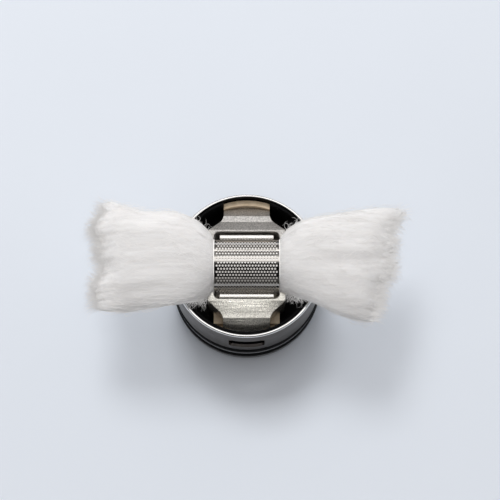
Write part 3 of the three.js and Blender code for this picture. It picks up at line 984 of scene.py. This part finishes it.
def fibre_tubes(paths, dice):
    """Points and faces of thin three-sided tubes along paths, tapering to their ends."""
    count, length = paths.shape[:2]
    ahead = np.gradient(paths, axis=1)
    side = np.cross(ahead, np.array([0.3, 0.5, 0.8]))
    side /= np.maximum(np.linalg.norm(side, axis=-1, keepdims=True), 1e-9)
    other = np.cross(ahead, side)
    other /= np.maximum(np.linalg.norm(other, axis=-1, keepdims=True), 1e-9)
    taper = 0.3 + 0.7 * np.sin(np.pi * np.linspace(0, 1, length))
    radius = (dice.uniform(*FIBRE_R, (count, 1)) * taper)[:, :, None, None]
    turns = 2 * np.pi * np.arange(3) / 3
    spokes = side[:, :, None] * np.cos(turns)[:, None] + other[:, :, None] * np.sin(turns)[:, None]
    points = paths[:, :, None] + spokes * radius
    corner = np.arange(count * length * 3).reshape(count, length, 3)
    beside = np.roll(corner, -1, axis=2)
    walls = np.stack([corner[:, :-1], beside[:, :-1], beside[:, 1:], corner[:, 1:]], axis=-1)
    caps = np.concatenate([corner[:, 0, ::-1], corner[:, -1]])
    return points.reshape(-1, 3), walls.reshape(-1, 4).tolist() + caps.tolist()


def make_wick_fibres(name, side):
    """Loose fibres over one half of the wick and out of its end."""
    dice = np.random.default_rng(20 + side)
    paths = np.concatenate([skin_fibres(dice, side), end_fibres(dice, side), stray_fibres(dice, side)])
    points, faces = fibre_tubes(paths, dice)
    return make_object(name, points, faces)


def make_wick():
    """Makes the wick's pieces and gives them back."""
    body = finish_piece(make_wick_body(), "deck", finishes["cotton_body"], ["cotton_wick"], 180)
    body.data.materials.append(finishes["cotton_core"])
    for face in body.data.polygons:
        if abs(face.center.x) < HELD_X * MM:
            face.material_index = 1
    pieces = [body]
    for name, side in (("cotton_fibres_left", -1), ("cotton_fibres_right", 1)):
        fibres = make_wick_fibres(name, side)
        pieces.append(finish_piece(fibres, "deck", finishes["cotton_fibre"], (), 180))
    return pieces


# ---- camera, light and table ----
CAMERA_REACH = 200.0
CAMERA_TILT = math.radians(73)
PICTURE_WIDE = 52.7  # millimetres across the picture at the camera's reach
AIM_RIGHT = 0.35
AIM_UP = 1.58


def make_camera():
    """A long lens, looking steeply down from the front, with the rim a little below the picture's middle."""
    look = Vector((0, math.cos(CAMERA_TILT), -math.sin(CAMERA_TILT)))
    up = Vector((0, math.sin(CAMERA_TILT), math.cos(CAMERA_TILT)))
    aim = Vector((AIM_RIGHT, 0, RIM_Z)) + up * AIM_UP
    data = bpy.data.cameras.new("camera")
    data.angle = 2 * math.atan(PICTURE_WIDE / 2 / CAMERA_REACH)
    data.clip_start = 0.005
    data.clip_end = 10
    camera = bpy.data.objects.new("camera", data)
    camera.location = (aim - look * CAMERA_REACH) * MM
    camera.rotation_euler = look.to_track_quat("-Z", "Y").to_euler()
    bpy.context.scene.collection.objects.link(camera)
    bpy.context.scene.camera = camera


def add_light(name, place_mm, size_mm, watts):
    """A square soft light that faces the deck."""
    data = bpy.data.lights.new(name, "AREA")
    data.shape = "SQUARE"
    data.size = size_mm * MM
    data.energy = watts
    light = bpy.data.objects.new(name, data)
    light.location = Vector(place_mm) * MM
    aim = Vector((0, 0, RIM_Z)) * MM - light.location
    light.rotation_euler = aim.to_track_quat("-Z", "Y").to_euler()
    light.visible_glossy = False
    bpy.context.scene.collection.objects.link(light)
    return light


def shine_only_on(light, pieces):
    """Keeps a light for some pieces, which also see it in their gloss."""
    group = bpy.data.collections.new(light.name + "_lights")
    for piece in pieces:
        group.objects.link(piece)
    light.light_linking.receiver_collection = group
    light.visible_glossy = True


def shine_through(light, pieces):
    """Lets a light pass through some pieces, as thin cotton does."""
    group = bpy.data.collections.new(light.name + "_passes")
    for piece in pieces:
        group.objects.link(piece)
    for entry in group.collection_objects:
        entry.light_linking.link_state = "EXCLUDE"
    light.light_linking.blocker_collection = group


# What shiny surfaces see round the deck: the angle in degrees, up from the rear horizon and over, and a grey.
ROOM = [
    (0, 0.15),
    (20, 0.15),
    (28, 0.4),
    (32, 3.4),
    (36, 0.25),
    (57, 0.25),
    (64, 1.55),
    (80, 1.55),
    (85, 0.15),
    (90, 0.005),
    (150, 0.005),
    (155, 0.12),
    (172, 0.03),
    (180, 0.01),
]
SOFT_LIGHT = (0.08, 0.66)  # from the front and from the rear
SKY_SEEN = 0.85
SKY = (0.95, 0.975, 1.0, 1.0)
SHADE = (1.0, 0.97, 0.965, 1.0)


def room_ramp(nodes, links):
    """A grey for each direction, which changes only with the angle round the wick's own axis."""
    place = nodes.new("ShaderNodeTexCoord")
    parts = nodes.new("ShaderNodeSeparateXYZ")
    angle = nodes.new("ShaderNodeMath")
    angle.operation = "ARCTAN2"
    share = nodes.new("ShaderNodeMath")
    share.operation = "DIVIDE"
    share.inputs[1].default_value = math.pi
    ramp = nodes.new("ShaderNodeValToRGB")
    links.new(place.outputs["Generated"], parts.inputs["Vector"])
    links.new(parts.outputs["Z"], angle.inputs[0])
    links.new(parts.outputs["Y"], angle.inputs[1])
    links.new(angle.outputs["Value"], share.inputs[0])
    links.new(share.outputs["Value"], ramp.inputs["Fac"])
    stops = ramp.color_ramp.elements
    while len(stops) < len(ROOM):
        stops.new(0.5)
    for stop, (degrees, grey) in zip(stops, ROOM):
        stop.position = degrees / 180
        stop.color = (grey, grey, grey, 1)
    return ramp.outputs["Color"]


def make_room():
    """A pale room: soft light for dull surfaces, grey bands for shiny ones, and a plain sky to look at."""
    world = bpy.data.worlds.new("room")
    world.use_nodes = True
    nodes, links = world.node_tree.nodes, world.node_tree.links
    rays = nodes.new("ShaderNodeLightPath")
    soft = nodes["Background"]
    soft.inputs["Color"].default_value = SHADE
    place = nodes.new("ShaderNodeTexCoord")
    parts = nodes.new("ShaderNodeSeparateXYZ")
    strength = nodes.new("ShaderNodeMapRange")
    strength.inputs["From Min"].default_value = -1
    strength.inputs["To Min"].default_value = SOFT_LIGHT[0]
    strength.inputs["To Max"].default_value = SOFT_LIGHT[1]
    links.new(place.outputs["Generated"], parts.inputs["Vector"])
    links.new(parts.outputs["Y"], strength.inputs["Value"])
    links.new(strength.outputs["Result"], soft.inputs["Strength"])
    mirrored = nodes.new("ShaderNodeBackground")
    links.new(room_ramp(nodes, links), mirrored.inputs["Color"])
    seen = nodes.new("ShaderNodeBackground")
    seen.inputs["Color"].default_value = SKY
    seen.inputs["Strength"].default_value = SKY_SEEN
    light = soft
    for ray, other in (("Is Glossy Ray", mirrored), ("Is Camera Ray", seen)):
        mix = nodes.new("ShaderNodeMixShader")
        links.new(rays.outputs[ray], mix.inputs["Fac"])
        links.new(light.outputs[0], mix.inputs[1])
        links.new(other.outputs[0], mix.inputs[2])
        light = mix
    links.new(light.outputs[0], nodes["World Output"].inputs["Surface"])
    bpy.context.scene.world = world


def make_table():
    """The table top, which the deck stands on."""
    half = 400.0
    points = [(-half, -half, 0), (half, -half, 0), (half, half, 0), (-half, half, 0)]
    table = make_object("table_top", points, [(0, 1, 2, 3)])
    to_metres(table)
    table.data.materials.append(finishes["table_white"])


make_camera()
make_room()
make_table()
ceiling_light = add_light("ceiling_light", (0, 40, 420), 220, 0.26)
rear_light = add_light("rear_light", (-80, 250, 360), 150, 0.58)
rear_glow = add_light("rear_glow", (-40, 250, 360), 160, 0.46)
front_card = add_light("front_card", (0, -250, 300), 130, 0.165)
bpy.context.scene.view_settings.view_transform = "Standard"

make_sleeve()
make_base()
make_oring("oring_lower_fine", "oring_lower")
make_oring("oring_upper_fine", "oring_upper")
front_post = make_posts()
shine_only_on(front_card, [front_post])
make_screws()
make_bushes()
make_strip()
wick_pieces = make_wick()
shine_through(ceiling_light, wick_pieces)
shine_through(rear_glow, wick_pieces)
